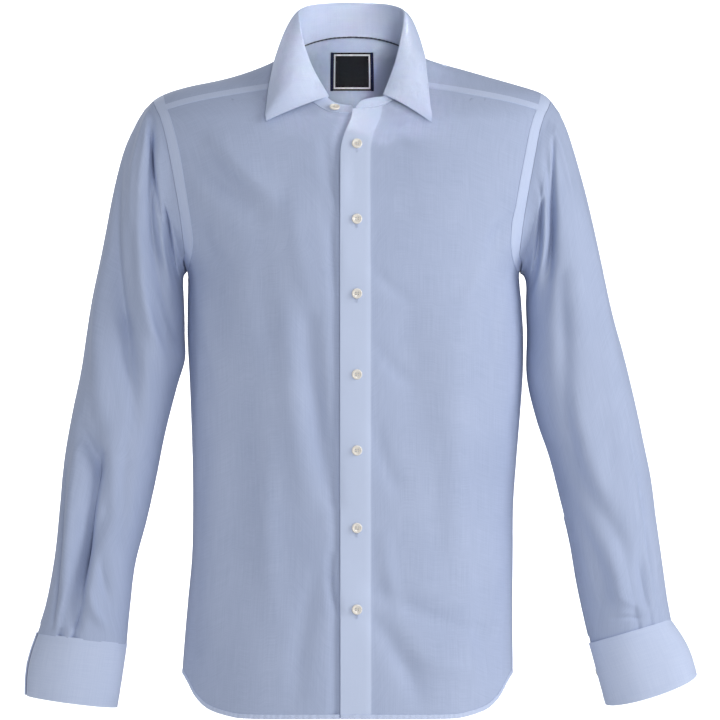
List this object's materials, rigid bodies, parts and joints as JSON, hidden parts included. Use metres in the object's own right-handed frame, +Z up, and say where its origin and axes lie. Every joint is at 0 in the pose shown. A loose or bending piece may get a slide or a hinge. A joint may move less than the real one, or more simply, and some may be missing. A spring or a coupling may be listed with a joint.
{
  "type": "long sleeve dress shirt",
  "caption": "Light blue long sleeve dress shirt in its worn, hollow form, with a pointed turn-down collar, a plain buttoned front and buttoned cuffs.",
  "frame": {"origin": "base of the neck, on the centre line between the two shoulders, where the wearer's neck and shoulders hold the shirt", "axes": "+Z up along the wearer's height, -Y the way the front faces, +X the wearer's left"},
  "size_m": [0.7388, 0.2505, 0.7871],
  "materials": {
    "cloth": "fine cotton poplin with a soft sheen",
    "collar_cloth": "the same poplin, interfaced and pressed smooth",
    "buttons": "pearly off-white",
    "piping": "matt dark navy",
    "label": "woven satin"
  },
  "bodies": {
    "root": {"front_left": "cloth", "front_right": "cloth", "back": "cloth", "yoke": "cloth", "yoke_inner": "cloth", "sleeve_left": "cloth", "sleeve_right": "cloth", "sleeve_placket_left": "cloth", "sleeve_placket_right": "cloth", "collar_stand": "collar_cloth", "collar_leaf": "collar_cloth", "cuff_left": "collar_cloth", "cuff_right": "collar_cloth", "front_button_1": "buttons", "front_button_2": "buttons", "front_button_3": "buttons", "front_button_4": "buttons", "front_button_5": "buttons", "front_button_6": "buttons", "front_button_7": "buttons", "stand_button": "buttons", "cuff_button_left": "buttons", "cuff_button_right": "buttons", "neck_piping": "piping", "label": "label"}
  },
  "joints": []
}
